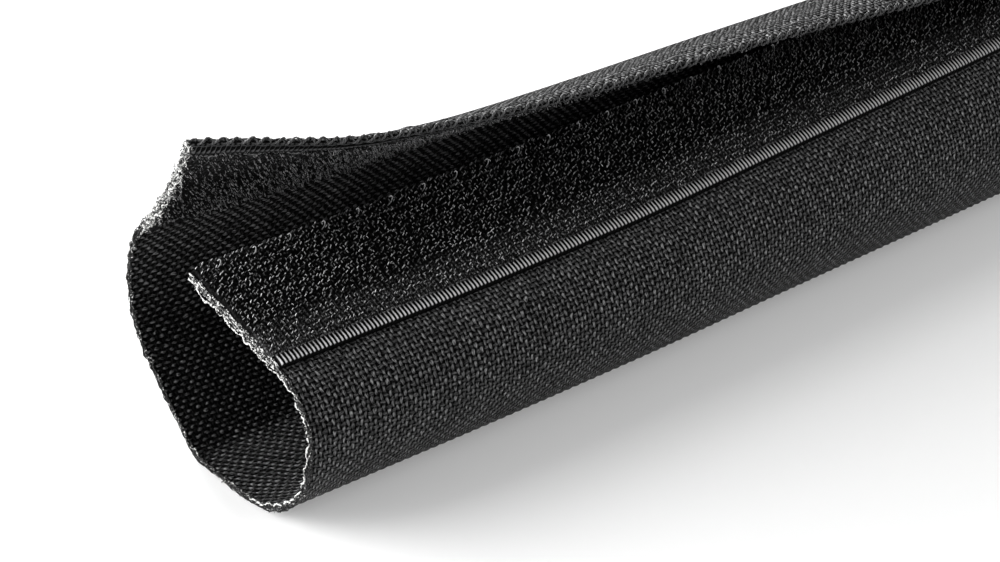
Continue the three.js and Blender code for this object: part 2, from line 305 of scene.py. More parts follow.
def new_material(name):
    """An empty node tree for a named material, and the material."""
    material = bpy.data.materials.new(name)
    material.use_nodes = True
    material.node_tree.nodes.clear()
    return material, material.node_tree


# %% Floor and world
FLOOR_ALBEDO = 0.82
FLOOR_GLOW = 0.22
FLOOR_HALF = 1500.0
FLOOR_DROP = 0.05
WORLD_LIGHT = 0.28

floor_mesh = bpy.data.meshes.new("floor")
corners = np.array([(-1, -1), (1, -1), (1, 1), (-1, 1)]) * FLOOR_HALF
floor_points = np.column_stack([corners, np.full(4, -FLOOR_DROP)]) * MM
floor_mesh.from_pydata(floor_points.tolist(), [], [(0, 1, 2, 3)])
floor = bpy.data.objects.new("floor", floor_mesh)
bpy.context.scene.collection.objects.link(floor)

paper, tree = new_material("matt white paper")
rays = tree.nodes.new("ShaderNodeLightPath")
seen = add(tree, MATH, [rays.outputs["Is Camera Ray"], rays.outputs["Is Glossy Ray"]], operation="MAXIMUM")
glow = add(tree, MATH, [seen, FLOOR_GLOW], operation="MULTIPLY")
white = add(tree, "ShaderNodeEmission", {"Color": (1, 1, 1, 1), "Strength": glow})
matt = add(tree, "ShaderNodeBsdfDiffuse", {"Color": (FLOOR_ALBEDO, FLOOR_ALBEDO, FLOOR_ALBEDO, 1)})
both = add(tree, "ShaderNodeAddShader", [matt, white])
add(tree, "ShaderNodeOutputMaterial", {"Surface": both})
floor_mesh.materials.append(paper)

world = bpy.data.worlds.new("white room")
bpy.context.scene.world = world
world.use_nodes = True
tree = world.node_tree
tree.nodes.clear()
rays = tree.nodes.new("ShaderNodeLightPath")
seen = rays.outputs["Is Camera Ray"]
level = add(tree, RANGE, {"Value": seen, "To Min": WORLD_LIGHT, "To Max": 1.0})
room = add(tree, "ShaderNodeBackground", {"Color": (1, 1, 1, 1), "Strength": level})
add(tree, "ShaderNodeOutputWorld", {"Surface": room})
print(f"floor {2 * FLOOR_HALF / 1000:.0f} m wide, world light {WORLD_LIGHT}")

# %% Lamps


def lamp(name, direction, distance, size, power):
    """A square area lamp that faces the aim from a direction, at a distance, in millimetres."""
    data = bpy.data.lights.new(name, "AREA")
    data.size = size * MM
    data.energy = power
    outward = np.array(direction, float) / np.linalg.norm(direction)
    light = bpy.data.objects.new(name, data)
    light.location = (AIM + outward * distance) * MM
    light.rotation_euler = Vector(outward.tolist()).to_track_quat("Z", "Y").to_euler()
    bpy.context.scene.collection.objects.link(light)


lamp("key behind", (-2.1, 1.05, 0.9), 900, 700, 17.0)
lamp("rim behind", (0.25, 0.85, 0.32), 900, 400, 11.5)
lamp("fill in front", (0.45, -0.75, 0.6), 900, 600, 2.6)
print("three lamps")

# %% [markdown]
# ## Making meshes from arrays
#
# Two helpers make nearly every piece. A slab closes two grids of points, one for each face of a cloth or
# tape, along its edges and ends. A tube sweeps a small ring along many paths at once, which serves for
# threads, hooks and loops alike. Both hand whole arrays to the mesh, because a Python loop over a quarter
# of a million points would take minutes.

# %% Mesh, slab and tube helpers


def new_piece(name, points, faces, uv, material, pale=None):
    """A smooth mesh object from points in millimetres and arrays of faces with equally many corners.

    Every point has a place on the piece's own UV map, and may have a value called pale. It says how far
    melted polymer is bleached, and on the woven sheet it is 1 on the inner face and 0 on the outer one.
    """
    mesh = bpy.data.meshes.new(name)
    sizes = np.concatenate([np.full(len(f), f.shape[1]) for f in faces])
    loops = np.concatenate([f.ravel() for f in faces]).astype(np.int32)
    mesh.vertices.add(len(points))
    mesh.vertices.foreach_set("co", (points * MM).astype(np.float32).ravel())
    mesh.loops.add(len(loops))
    mesh.loops.foreach_set("vertex_index", loops)
    mesh.polygons.add(len(sizes))
    mesh.polygons.foreach_set("loop_start", (np.cumsum(sizes) - sizes).astype(np.int32))
    mesh.polygons.foreach_set("use_smooth", np.ones(len(sizes), bool))
    mesh.update(calc_edges=True)
    layer = mesh.uv_layers.new(name="UVMap")
    layer.data.foreach_set("uv", uv[loops].astype(np.float32).ravel())
    if pale is not None:
        attribute = mesh.attributes.new("pale", "FLOAT", "POINT")
        attribute.data.foreach_set("value", pale.astype(np.float32))
    mesh.materials.append(material)
    piece = bpy.data.objects.new(name, mesh)
    bpy.context.scene.collection.objects.link(piece)
    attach(piece, "root")
    triangles = int((sizes - 2).sum())
    print(f"{name}: {len(points)} points, {triangles} triangles")
    return piece


def quads(*corners):
    """Four-cornered faces from four equal arrays of point numbers."""
    return np.stack([c.ravel() for c in corners], axis=1)


def slab(outer, inner):
    """Points and faces of the closed solid between two grids of points, stations by lines."""
    stations, lines = outer.shape[:2]
    top = np.arange(stations * lines).reshape(stations, lines)
    low = top + stations * lines
    faces = [
        quads(top[:-1, :-1], top[:-1, 1:], top[1:, 1:], top[1:, :-1]),
        quads(low[:-1, :-1], low[1:, :-1], low[1:, 1:], low[:-1, 1:]),
        quads(top[:-1, 0], top[1:, 0], low[1:, 0], low[:-1, 0]),
        quads(top[:-1, -1], low[:-1, -1], low[1:, -1], top[1:, -1]),
        quads(top[0, :-1], low[0, :-1], low[0, 1:], top[0, 1:]),
        quads(top[-1, :-1], top[-1, 1:], low[-1, 1:], low[-1, :-1]),
    ]
    return np.concatenate([outer.reshape(-1, 3), inner.reshape(-1, 3)]), [np.concatenate(faces)]


def smooth_noise(chance, shape, spread):
    """Random values with a standard deviation near one, averaged over a run of neighbours."""
    raw = chance.normal(0, 1, (*shape[:-1], shape[-1] + spread))
    sums = np.cumsum(raw, axis=-1)
    return (sums[..., spread:] - sums[..., :-spread]) / math.sqrt(spread)


def unit(vectors):
    """Vectors scaled to length one."""
    return vectors / np.maximum(np.linalg.norm(vectors, axis=-1, keepdims=True), 1e-9)


def tubes(paths, radius, sides, reference):
    """Points, faces and UV of one tube along each path, paths by steps by xyz, closed at both ends.

    Each ring is radius * (cos t * first + sin t * second), where first is the reference square to the
    path and second is the path's direction crossed with it. U is the length in millimetres.
    """
    count, steps = paths.shape[:2]
    direction = unit(np.gradient(paths, axis=1))
    reference = np.broadcast_to(reference, paths.shape)
    first = unit(reference - (reference * direction).sum(-1, keepdims=True) * direction)
    second = np.cross(direction, first)
    turn = np.arange(sides) * 2 * np.pi / sides
    ring = first[:, :, None] * np.cos(turn)[:, None] + second[:, :, None] * np.sin(turn)[:, None]
    size = np.broadcast_to(radius, (count, steps))[:, :, None, None]
    points = (paths[:, :, None] + ring * size).reshape(-1, 3)
    index = np.arange(count * steps * sides).reshape(count, steps, sides)
    beside = np.roll(index, -1, axis=2)
    walls = quads(index[:, :-1], beside[:, :-1], beside[:, 1:], index[:, 1:])
    ends = np.concatenate([index[:, 0, ::-1], index[:, -1]])
    length = np.cumsum(np.linalg.norm(np.diff(paths, axis=1, prepend=paths[:, :1]), axis=-1), axis=1)
    u = np.broadcast_to(length[:, :, None], index.shape)
    v = np.broadcast_to(np.arange(sides) / sides, index.shape)
    return points, [walls, ends], np.stack([u.ravel(), v.ravel()], axis=1)


def stack_tubes(parts):
    """Several results of tubes() as one set of points, faces and UV."""
    points, faces, uv, start = [], [], [], 0
    for part_points, part_faces, part_uv in parts:
        points.append(part_points)
        faces.extend(f + start for f in part_faces)
        uv.append(part_uv)
        start += len(part_points)
    return np.concatenate(points), faces, np.concatenate(uv)


# %% [markdown]
# ## The woven sheet
#
# The cloth is a plain weave of thick textured polyester yarns, about 0.57 mm apart both ways. Where a
# lengthwise yarn passes over, it stands a little prouder than the crosswise ones, as a chequerboard. The
# mesh has one point for each crossing, raised or lowered by that rule, so the outline is really bumpy, and
# the material rounds each yarn between the points with a bump of the same count. The hidden strip under
# the hook tape has only a few lines.

# %% Woven polyester material
THREAD_PITCH = 0.57
YARN_WIDTH = 0.68
BAR_SHARE = 0.7
YARN_RELIEF = 0.3
YARN_WANDER = 0.45
WANDER_SCALES = (350.0, 1500.0)
STREAKS_PER_YARN = 6.5
STREAK_RELIEF = 0.3


def woven_height(tree, u, v, yarn_width):
    """Height of a plain weave with a crossing at each whole u and v, and where the yarn along v is on top.

    Each yarn is a round bar, sqrt(1 - (2a / width)^2) at the distance a from its middle, and swings up
    and down along itself as plus or minus cos(pi t), opposite to its neighbours and to the yarns that it
    crosses. The higher of the two yarns is what shows.
    """
    heights = []
    for beside, along, sign in ((u, v, 1.0), (v, u, -1.0)):
        middle = add(tree, MATH, [beside], operation="ROUND")
        from_middle = add(tree, MATH, [beside, middle], operation="SUBTRACT")
        share = add(tree, MATH, [from_middle, 2 / yarn_width], operation="MULTIPLY")
        square = add(tree, MATH, [share, share], operation="MULTIPLY")
        rest = add(tree, MATH, [1.0, square], operation="SUBTRACT")
        rest = add(tree, MATH, [rest, 0.0], operation="MAXIMUM")
        bar = add(tree, MATH, [rest], operation="SQRT")
        turn = add(tree, MATH, [along, math.pi], operation="MULTIPLY")
        turn = add(tree, MATH, [turn], operation="COSINE")
        parity = add(tree, MATH, [middle, math.pi], operation="MULTIPLY")
        parity = add(tree, MATH, [parity], operation="COSINE")
        swing = add(tree, MATH, [turn, parity], operation="MULTIPLY")
        swing = add(tree, MATH, [swing, sign * (1 - BAR_SHARE)], operation="MULTIPLY")
        heights.append(add(tree, MATH, [bar, BAR_SHARE, swing], operation="MULTIPLY_ADD"))
    return add(tree, MATH, heights, operation="MAXIMUM"), add(tree, MATH, heights, operation="GREATER_THAN")


def own_place(tree):
    """U and V of the piece's own map."""
    place = add(tree, "ShaderNodeUVMap", uv_map="UVMap")
    split = tree.nodes.new("ShaderNodeSeparateXYZ")
    tree.links.new(place, split.inputs[0])
    return split.outputs[0], split.outputs[1]


def woven_polyester():
    """Plain-woven textured polyester, dyed black. Its yarns are matt bundles of fine filaments. Their crowns
    are painted grey as a painted highlight, streaked along the yarn, and the pits between them are painted
    black as painted shade. Outside the crosswise yarns get more of the painted highlight, and inside the
    lengthwise ones. No yarn runs quite straight: two noises push it to either side. The attribute called
    pale tells the inside here."""
    material, tree = new_material("plain-woven black polyester")
    straight = own_place(tree)
    objects = tree.nodes.new("ShaderNodeTexCoord").outputs["Object"]
    wander = [0.0, 0.0]
    for scale in WANDER_SCALES:
        sway = add(tree, NOISE, {"Vector": objects, "Scale": scale, "Detail": 0.0})
        split = add(tree, "ShaderNodeSeparateColor", [sway.node.outputs["Color"]]).node
        for k in (0, 1):
            wander[k] = add(tree, MATH, [split.outputs[k], YARN_WANDER, wander[k]], operation="MULTIPLY_ADD")
    pushed = [add(tree, MATH, [straight[k], wander[k]], operation="ADD") for k in (0, 1)]
    u, v = (add(tree, MATH, [value, YARN_WANDER], operation="SUBTRACT") for value in pushed)
    height, lengthwise = woven_height(tree, u, v, YARN_WIDTH)
    inside = add(tree, "ShaderNodeAttribute", attribute_name="pale").node.outputs["Fac"]
    whole = [add(tree, MATH, [value], operation="ROUND") for value in (u, v)]
    crossing = add(tree, "ShaderNodeCombineXYZ", whole)
    uneven = add(tree, "ShaderNodeTexWhiteNoise", {"Vector": crossing}, noise_dimensions="2D")
    beside = add(tree, MIX, {0: lengthwise, 2: v, 3: u})
    along = add(tree, MIX, {0: lengthwise, 2: u, 3: v})
    finely = add(tree, MATH, [beside, STREAKS_PER_YARN], operation="MULTIPLY")
    strand = add(tree, "ShaderNodeCombineXYZ", [finely, along, lengthwise])
    streaks = add(tree, NOISE, {"Vector": strand, "Scale": 1.0, "Detail": 1.0})
    grain = add(tree, RANGE, {"Value": streaks, "From Min": 0.4, "From Max": 0.62, "To Min": 0.08})
    crown = add(tree, RANGE, {"Value": height, "From Min": 0.42}, interpolation_type="SMOOTHSTEP")
    # Which yarns get the painted highlight: the crosswise ones outside, the lengthwise ones inside.
    along_shine = add(tree, RANGE, {"Value": inside, "To Min": 0.4, "To Max": 0.95})
    across_shine = add(tree, RANGE, {"Value": inside, "To Min": 1.0, "To Max": 0.08})
    shine = add(tree, MIX, {0: lengthwise, 2: across_shine, 3: along_shine})
    strength = add(tree, RANGE, {"Value": uneven.node.outputs["Value"], "To Min": 0.4})
    lit = crown
    for share in (shine, strength, grain):
        lit = add(tree, MATH, [lit, share], operation="MULTIPLY")
    # Painted light: grey crowns are painted highlight and black pits are painted shade on black-dyed yarn.
    colour = add(tree, MIX, {0: lit, 6: linear("#010101"), 7: linear("#bababb")}, data_type="RGBA")
    roughness = add(tree, RANGE, {"Value": crown, "To Min": 1.0, "To Max": 0.5})
    relief = add(tree, MATH, [streaks, STREAK_RELIEF, height], operation="MULTIPLY_ADD")
    normal = add(tree, "ShaderNodeBump", {"Strength": 1.0, "Distance": YARN_RELIEF * MM, "Height": relief})
    shader = add(
        tree,
        PRINCIPLED,
        {"Base Color": colour, "Roughness": roughness, "Normal": normal, "Specular IOR Level": 0.03},
    )
    shader.node.inputs["Sheen Weight"].default_value = 0.12
    shader.node.inputs["Sheen Roughness"].default_value = 0.12
    add(tree, "ShaderNodeOutputMaterial", {"Surface": shader})
    return material


polyester = woven_polyester()
print("polyester yarns", THREAD_PITCH, "mm apart")

# %% The sheet's mesh
THREAD_CROWN_DIFFERENCE = 0.15
COVERED_STEP = 4.0
SEAM_DIP = 0.12
SEAM_DIP_WIDTH = 0.3
seam_places = [SEAM_INSET, TAPE_WIDTH - SEAM_INSET, LOOP_TAPE_START + SEAM_INSET, SHEET_WIDTH - SEAM_INSET]


def pressed_by_seams(across_cloth):
    """How deep the four seams press into the cloth: a bell curve round each of them."""
    widths = [(across_cloth - place) / (2 * SEAM_DIP_WIDTH) for place in seam_places]
    return sum(SEAM_DIP * np.exp(-(width**2)) for width in widths)


EDGE_PINCH_REACH = 0.9
CLOTH_PINCH = 0.32
TAPE_PINCH = 0.4
CUT_PINCH = 0.3
CUT_PINCH_REACH = 0.3


def pinched(across_cloth):
    """How far the overlocking squeezes the layers, from 0 to 1: a bell curve at the outer flap's edge."""
    return np.exp(-(((SHEET_WIDTH - across_cloth) / EDGE_PINCH_REACH) ** 2))


threads_along = round(SLEEVE_LENGTH / THREAD_PITCH)
threads_across = round((SHEET_WIDTH - TAPE_WIDTH) / THREAD_PITCH)
along = np.linspace(0, SLEEVE_LENGTH, threads_along + 1)
covered = np.arange(0, TAPE_WIDTH, COVERED_STEP)
woven = np.linspace(TAPE_WIDTH, SHEET_WIDTH, threads_across + 1)
across = np.concatenate([covered, woven])
is_odd = (np.arange(len(along))[:, None] + np.arange(len(across)) - len(covered)) % 2 == 1
is_woven = across >= TAPE_WIDTH
lowered_outside = THREAD_CROWN_DIFFERENCE * (is_odd & is_woven) + pressed_by_seams(across)
lowered_outside = lowered_outside + CLOTH_PINCH * pinched(across)
lowered_inside = THREAD_CROWN_DIFFERENCE * (~is_odd & is_woven) + pressed_by_seams(across)
outside = on_sheet(along[:, None], across, HALF_FABRIC - lowered_outside)
inside = on_sheet(along[:, None], across, lowered_inside - HALF_FABRIC)
points, faces = slab(outside, inside)
yarn_across = (across - TAPE_WIDTH) / (woven[1] - woven[0])
yarn_along = (along / (along[1] - along[0]))[:, None]
thread_place = np.stack(np.broadcast_arrays(yarn_across, yarn_along), axis=-1).reshape(-1, 2)
is_inside = np.repeat([0.0, 1.0], len(thread_place))
thread_place = np.concatenate([thread_place, thread_place])
sheet = new_piece("woven_sheet", points, faces, thread_place, polyester, is_inside)
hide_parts("sleeve_fabric")

# %% [markdown]
# ## The tapes
#
# Both tapes have a tightly woven nylon ground with ribbed selvages: the crosswise threads turn back at
# the edge and stand up as short ribs, half a millimetre apart. They are real ridges in the mesh, because
# they are the sharpest detail on the sleeve. A row of stitches presses each selvage down.

# %% Woven nylon material
RIB_PITCH = 0.5
WARP_PITCH = 0.48
# How far from the selvage ribs the field's painted light reaches.
PAINTED_LIGHT_REACH = 5.0


def woven_nylon(name, field, selvage, rib_ends, slant):
    """Woven black nylon ground with crosswise ribs. Its colour is painted light: the field under the pile or
    the hooks is near black as painted shade and is painted lighter near the selvage ribs, and the ribs of
    the selvages, where the crosswise threads turn back, are painted light on their crests as highlight.
    Rib_ends are the places across the tape where the ribs of the lit selvage start and stop, and slant is
    how far a rib leans along the sleeve."""
    material, tree = new_material(name)
    u, v = own_place(tree)
    leaning = add(tree, MATH, [u, slant, v], operation="MULTIPLY_ADD")
    wave = add(tree, MATH, [leaning, 2 * math.pi / RIB_PITCH], operation="MULTIPLY")
    wave = add(tree, MATH, [wave], operation="COSINE")
    ridge = {"Value": wave, "From Min": 0.05, "From Max": 0.95}
    rib = add(tree, RANGE, ridge, interpolation_type="SMOOTHSTEP")
    objects = tree.nodes.new("ShaderNodeTexCoord").outputs["Object"]
    hair = add(tree, NOISE, {"Vector": objects, "Scale": 5200.0, "Detail": 2.0})
    specks = add(tree, RANGE, {"Value": hair, "From Min": 0.48, "From Max": 0.7})
    start, stop = rib_ends
    # The field is painted lighter near the selvage ribs as painted light and near black farther off as
    # painted shadow.
    nearing = {"Value": u, "From Min": start - PAINTED_LIGHT_REACH, "From Max": start, "To Min": 0.03, "To Max": 0.6}
    near = add(tree, RANGE, nearing)
    on = add(tree, RANGE, {"Value": u, "From Min": start, "From Max": start + 0.15})
    ending = {"Value": u, "From Min": stop, "From Max": stop + 0.12, "To Min": 1.0, "To Max": 0.0}
    off = add(tree, RANGE, ending)
    warp = add(tree, MATH, [u, 2 * math.pi / WARP_PITCH], operation="MULTIPLY")
    warp = add(tree, MATH, [warp], operation="COSINE")
    warp = add(tree, RANGE, {"Value": warp, "From Min": 0.0})
    warp = add(tree, MATH, [warp, 0.9, 0.3], operation="MULTIPLY_ADD")
    grid = add(tree, MATH, [rib, warp], operation="MULTIPLY")
    in_field = add(tree, MATH, [specks, 0.45, grid], operation="MULTIPLY_ADD")
    before_ribs = add(tree, MATH, [1.0, on], operation="SUBTRACT")
    for share in (near, before_ribs):
        in_field = add(tree, MATH, [in_field, share], operation="MULTIPLY")
    field_colour = add(tree, MIX, {0: in_field, 6: linear("#020202"), 7: linear(field)}, data_type="RGBA")
    # Painted highlight on the rib crests, painted shade between them.
    ribbed = add(tree, MIX, {0: rib, 6: linear("#010101"), 7: linear(selvage)}, data_type="RGBA")
    is_rib = add(tree, MATH, [on, off], operation="MULTIPLY")
    colour = add(tree, MIX, {0: is_rib, 6: field_colour, 7: ribbed}, data_type="RGBA")
    normal = add(tree, "ShaderNodeBump", {"Strength": 1.0, "Distance": 0.0001, "Height": hair})
    shader = add(
        tree,
        PRINCIPLED,
        {"Base Color": colour, "Roughness": 0.6, "Normal": normal, "Specular IOR Level": 0.06},
    )
    add(tree, "ShaderNodeOutputMaterial", {"Surface": shader})
    return material


RIB_LENGTH = 1.3
RIB_INSET = 0.25
hook_ribs = (TAPE_WIDTH - RIB_LENGTH - RIB_INSET, TAPE_WIDTH - RIB_INSET)
loop_ribs = (TAPE_WIDTH - 1.4, TAPE_WIDTH - 0.3)
# Both tapes are black nylon; the grey colours given here are painted light.
ground_nylon = woven_nylon("woven black nylon ground", "#9c9c9d", "#c2c2c3", hook_ribs, 0.1)
brushed_nylon = woven_nylon("brushed black nylon ground", "#585859", "#5c5c5d", loop_ribs, -0.5)
print("selvage ribs", RIB_PITCH, "mm apart")

# %% The tapes' grounds
RIB_STEPS = 4
RIB_HEIGHT = 0.2
FIELD_RIB_HEIGHT = 0.05
SELVAGE_EDGE = 0.3
SELVAGE_DROP = 0.12


def tape_ground(name, tape_start, side, material):
    """A tape's ground. Its free face is raised by ribs, cos(2 pi x / pitch), high on the selvages and low
    between them, rounded down at both edges, pressed down along the seams, deepest between stitches, and
    melted thinner at both ends."""
    along = np.linspace(0, SLEEVE_LENGTH, RIB_STEPS * round(SLEEVE_LENGTH / RIB_PITCH) + 1)[:, None]
    half = [0, SELVAGE_EDGE / 2, SELVAGE_EDGE * 2, SEAM_INSET - SEAM_DIP_WIDTH, SEAM_INSET]
    half += [SEAM_INSET + SEAM_DIP_WIDTH, SELVAGE_WIDTH + SELVAGE_EDGE, TAPE_WIDTH / 3]
    place = np.array(half + [TAPE_WIDTH - p for p in reversed(half)])
    to_edge = np.minimum(place, TAPE_WIDTH - place)
    rib = 0.5 + 0.5 * np.cos(2 * np.pi * along / RIB_PITCH)
    height = np.where(to_edge < SELVAGE_WIDTH, RIB_HEIGHT, FIELD_RIB_HEIGHT)
    edge = SELVAGE_DROP * np.exp(-((to_edge / SELVAGE_EDGE) ** 2))
    press = SEAM_DIP * np.exp(-(((to_edge - SEAM_INSET) / SEAM_DIP_WIDTH) ** 2))
    hole = 0.6 + 0.4 * np.cos(2 * np.pi * along / STITCH_LENGTH)
    seat = HALF_FABRIC + LAYER_GAP
    free = seat + TAPE_GROUND + height * (rib - 0.5) - edge - press * hole
    to_end = np.minimum(along, SLEEVE_LENGTH - along)
    free = free - TAPE_PINCH * pinched(tape_start + place)
    free = free - CUT_PINCH * np.exp(-((to_end / CUT_PINCH_REACH) ** 2))
    covered_face = on_sheet(along, tape_start + place, side * seat)
    free_face = on_sheet(along, tape_start + place, side * free)
    outer, inner = (free_face, covered_face) if side > 0 else (covered_face, free_face)
    points, faces = slab(outer, inner)
    uv = np.stack(np.broadcast_arrays(place, along), axis=-1).reshape(-1, 2)
    return new_piece(name, points, faces, np.concatenate([uv, uv]), material)


hook_ground = tape_ground("hook_tape_ground", 0.0, 1, ground_nylon)
loop_ground = tape_ground("loop_tape_ground", LOOP_TAPE_START, -1, brushed_nylon)
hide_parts("hook_tape")
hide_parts("loop_tape")

# %% [markdown]
# ## The hooks
#
# Each hook on the real tape is a loop of stiff nylon monofilament, set by heat and then cut on one side.
# There are thousands, so each is a three-sided tube of only four points: up from the ground and over to one
# side. Every other hook faces the far end and the rest face the mouth. They are two pieces, so that neither
# has too many faces. Each tip has a painted highlight, a pale stretch of the wire's colour, and the hooks
# lean a little at random. Along the free edge each stitch pulls one taller wire upright, which is seen from
# the side as a bright arc, painted pale along its whole length as highlight.

# %% Monofilament material and hooks
HOOK_WIRE = 0.06
HOOK_SPACING_ALONG = 0.52
HOOK_SPACING_ACROSS = 0.48
HOOK_RISE = 0.8
HOOK_START = 0.12
HOOK_SHAPE = np.array([(0, -0.1), (0.03, 0.72), (0.2, 0.98), (0.36, 0.68)])
ARC_SHAPE = np.array([(0, 0), (0.2, 0.3), (0.26, 0.6), (0.2, 0.95), (0, 1.15), (-0.2, 1.05)])
HOOK_STRAY_ALONG = 0.13
HOOK_STRAY_ACROSS = 0.11
ARC_PLACE = 1.0


def nylon_monofilament():
    """Drawn nylon monofilament, smooth and slightly clear, so that it throws small highlights. The painted
    highlight on each tip is a pale stretch of the wire's colour, placed by its length, as bright as the
    hook's own value."""
    material, tree = new_material("black nylon monofilament")
    length, tip_highlight_strength = own_place(tree)
    rising = add(tree, RANGE, {"Value": length, "From Min": 0.55, "From Max": 0.66})
    falling = add(tree, RANGE, {"Value": length, "From Min": 0.98, "From Max": 0.85})
    tip = add(tree, MATH, [rising, falling], operation="MULTIPLY")
    lit = add(tree, MATH, [tip, tip_highlight_strength], operation="MULTIPLY")
    # Painted highlight: the tip stretch of the black wire's colour is pale.
    colour = add(tree, MIX, {0: lit, 6: linear("#020202"), 7: linear("#e0e0e1")}, data_type="RGBA")
    shader = add(tree, PRINCIPLED, {"Base Color": colour, "Roughness": 0.45, "Specular IOR Level": 0.2})
    add(tree, "ShaderNodeOutputMaterial", {"Surface": shader})
    return material


monofilament = nylon_monofilament()
chance = np.random.default_rng(11)
rows_along = np.arange(HOOK_START, SLEEVE_LENGTH - HOOK_START, HOOK_SPACING_ALONG)
rows_across = np.arange(HOOK_SPACING_ACROSS, hook_ribs[0], HOOK_SPACING_ACROSS)
hook_along, hook_across = np.meshgrid(rows_along, rows_across, indexing="ij")
hook_along = hook_along + (np.arange(len(rows_across)) % 2) * HOOK_SPACING_ALONG / 2
hook_along = hook_along + chance.normal(0, HOOK_STRAY_ALONG, hook_along.shape)
hook_across = hook_across + chance.normal(0, HOOK_STRAY_ACROSS, hook_across.shape)
hook_along, hook_across = hook_along.ravel(), hook_across.ravel()
out, lengthwise, crosswise = axes_on_sheet(hook_along, hook_across)
base = on_sheet(hook_along, hook_across, HALF_FABRIC + LAYER_GAP + TAPE_GROUND)
hook_facing = np.where(np.arange(len(hook_along)) % 2 == 0, 1.0, -1.0)
facing = hook_facing + chance.normal(0, 0.25, len(hook_along))
lean = chance.normal(0, 0.35, len(hook_along))
forward = unit(lengthwise * facing[:, None] + crosswise * lean[:, None])
rise = HOOK_RISE * (1 + chance.normal(0, 0.06, len(hook_along)))
hook_paths = (
    base[:, None]
    + forward[:, None] * HOOK_SHAPE[:, 0][:, None]
    + out[:, None] * (HOOK_SHAPE[:, 1][:, None] * rise[:, None, None])
)
across_hook = np.cross(out, forward)[:, None]
# Strength of each hook's painted tip highlight, carried in the V of its map.
shine = chance.uniform(0.1, 1, len(hook_along)) ** 1.4
stitches = round(SLEEVE_LENGTH / STITCH_LENGTH)
arc_along = SLEEVE_LENGTH / stitches * (np.arange(stitches) + 0.62)
arc_across = np.full(stitches, ARC_PLACE)
out, lengthwise, _ = axes_on_sheet(arc_along, arc_across)
base = on_sheet(arc_along, arc_across, HALF_FABRIC + LAYER_GAP + TAPE_GROUND)
paths = (
    base[:, None]
    + lengthwise[:, None] * ARC_SHAPE[:, 0][:, None]
    + out[:, None] * ARC_SHAPE[:, 1][:, None]
)
arcs = tubes(paths, HOOK_WIRE, 5, np.cross(out, lengthwise)[:, None])
# The stitch-pulled arcs sit wholly in the painted tip highlight, at nine tenths of full strength.
arcs[2][:] = (0.75, 0.9)
for name, chosen, extra in (
    ("hooks_facing_far_end", hook_facing > 0, [arcs]),
    ("hooks_facing_mouth", hook_facing <= 0, []),
):
    tufts = tubes(hook_paths[chosen], HOOK_WIRE, 3, across_hook[chosen])
    tufts[2][:, 1] = np.repeat(shine[chosen], len(tufts[0]) // chosen.sum())
    points, faces, uv = stack_tubes([tufts, *extra])
    new_piece(name, points, faces, uv, monofilament)

# %% [markdown]
# ## The loop pile
#
# The loop tape's pile is fine nylon filament, knitted as loops and brushed until they lie every way. Each
# of some eight thousand loops here is a thin arch between two points on the ground, pushed sideways at
# random.

# %% Pile filament material and loops
LOOP_WIRE = 0.036
LOOP_SPACING = 0.56
LOOP_REACH = (0.12, 0.36)
LOOP_RISE = (0.3, 0.68)
LOOP_STEPS = 4
PILE_OVER_SELVAGE = 0.7


def pile_filament():
    """Crimped nylon filament, dyed black, with noise-placed pale flecks in its colour as painted glints."""
    material, tree = new_material("brushed black nylon pile")
    objects = tree.nodes.new("ShaderNodeTexCoord").outputs["Object"]
    noise = add(tree, NOISE, {"Vector": objects, "Scale": 5000.0, "Detail": 1.0})
    # Painted glints: pale flecks of noise in the black filament's colour.
    painted_glints = add(tree, RANGE, {"Value": noise, "From Min": 0.44, "From Max": 0.62})
    colour = add(tree, MIX, {0: painted_glints, 6: linear("#040404"), 7: linear("#acacad")}, data_type="RGBA")
    shader = add(tree, PRINCIPLED, {"Base Color": colour, "Roughness": 0.6, "Specular IOR Level": 0.15})
    add(tree, "ShaderNodeOutputMaterial", {"Surface": shader})
    return material


filament = pile_filament()
chance = np.random.default_rng(23)
margin = SELVAGE_WIDTH - PILE_OVER_SELVAGE
rows_along = np.arange(0.4, SLEEVE_LENGTH - 0.4, LOOP_SPACING)
rows_across = LOOP_TAPE_START + np.arange(margin, TAPE_WIDTH - margin, LOOP_SPACING)
loop_along, loop_across = (grid.ravel() for grid in np.meshgrid(rows_along, rows_across, indexing="ij"))
loop_count = len(loop_along)
loop_along = loop_along + chance.uniform(-0.35, 0.35, loop_count)
loop_across = loop_across + chance.uniform(-0.3, 0.3, loop_count)
out, lengthwise, crosswise = axes_on_sheet(loop_along, loop_across)
base = on_sheet(loop_along, loop_across, -(HALF_FABRIC + LAYER_GAP + TAPE_GROUND - 0.1))
heading = chance.uniform(0, 2 * np.pi, loop_count)[:, None]
forward = lengthwise * np.cos(heading) + crosswise * np.sin(heading)
sideways = np.cross(out, forward)
reach = chance.uniform(*LOOP_REACH, loop_count)[:, None, None]
rise = chance.uniform(*LOOP_RISE, loop_count)[:, None, None]
push = chance.normal(0, 0.12, loop_count)[:, None, None]
half_turn = np.linspace(0, np.pi, LOOP_STEPS)[:, None]
paths = (
    base[:, None]
    - forward[:, None] * np.cos(half_turn) * reach / 2
    - out[:, None] * np.sin(half_turn) ** 0.8 * rise
    + sideways[:, None] * np.sin(half_turn) ** 2 * push
)
points, faces, uv = tubes(paths, LOOP_WIRE, 3, sideways[:, None])
pile = new_piece("loop_tape_pile", points, faces, uv, filament)

# %% [markdown]
# ## Seams
#
# Each tape is lockstitched along both selvages. On the tape's side every stitch is a short bar of thread
# that dives into a needle hole at both ends, and on the cloth's side the bobbin thread does the same, at the
# same holes.

# %% Twisted thread material and seams
SEAM_WIRE = 0.1
SEAM_STEPS = 10
PLIES = 3.0


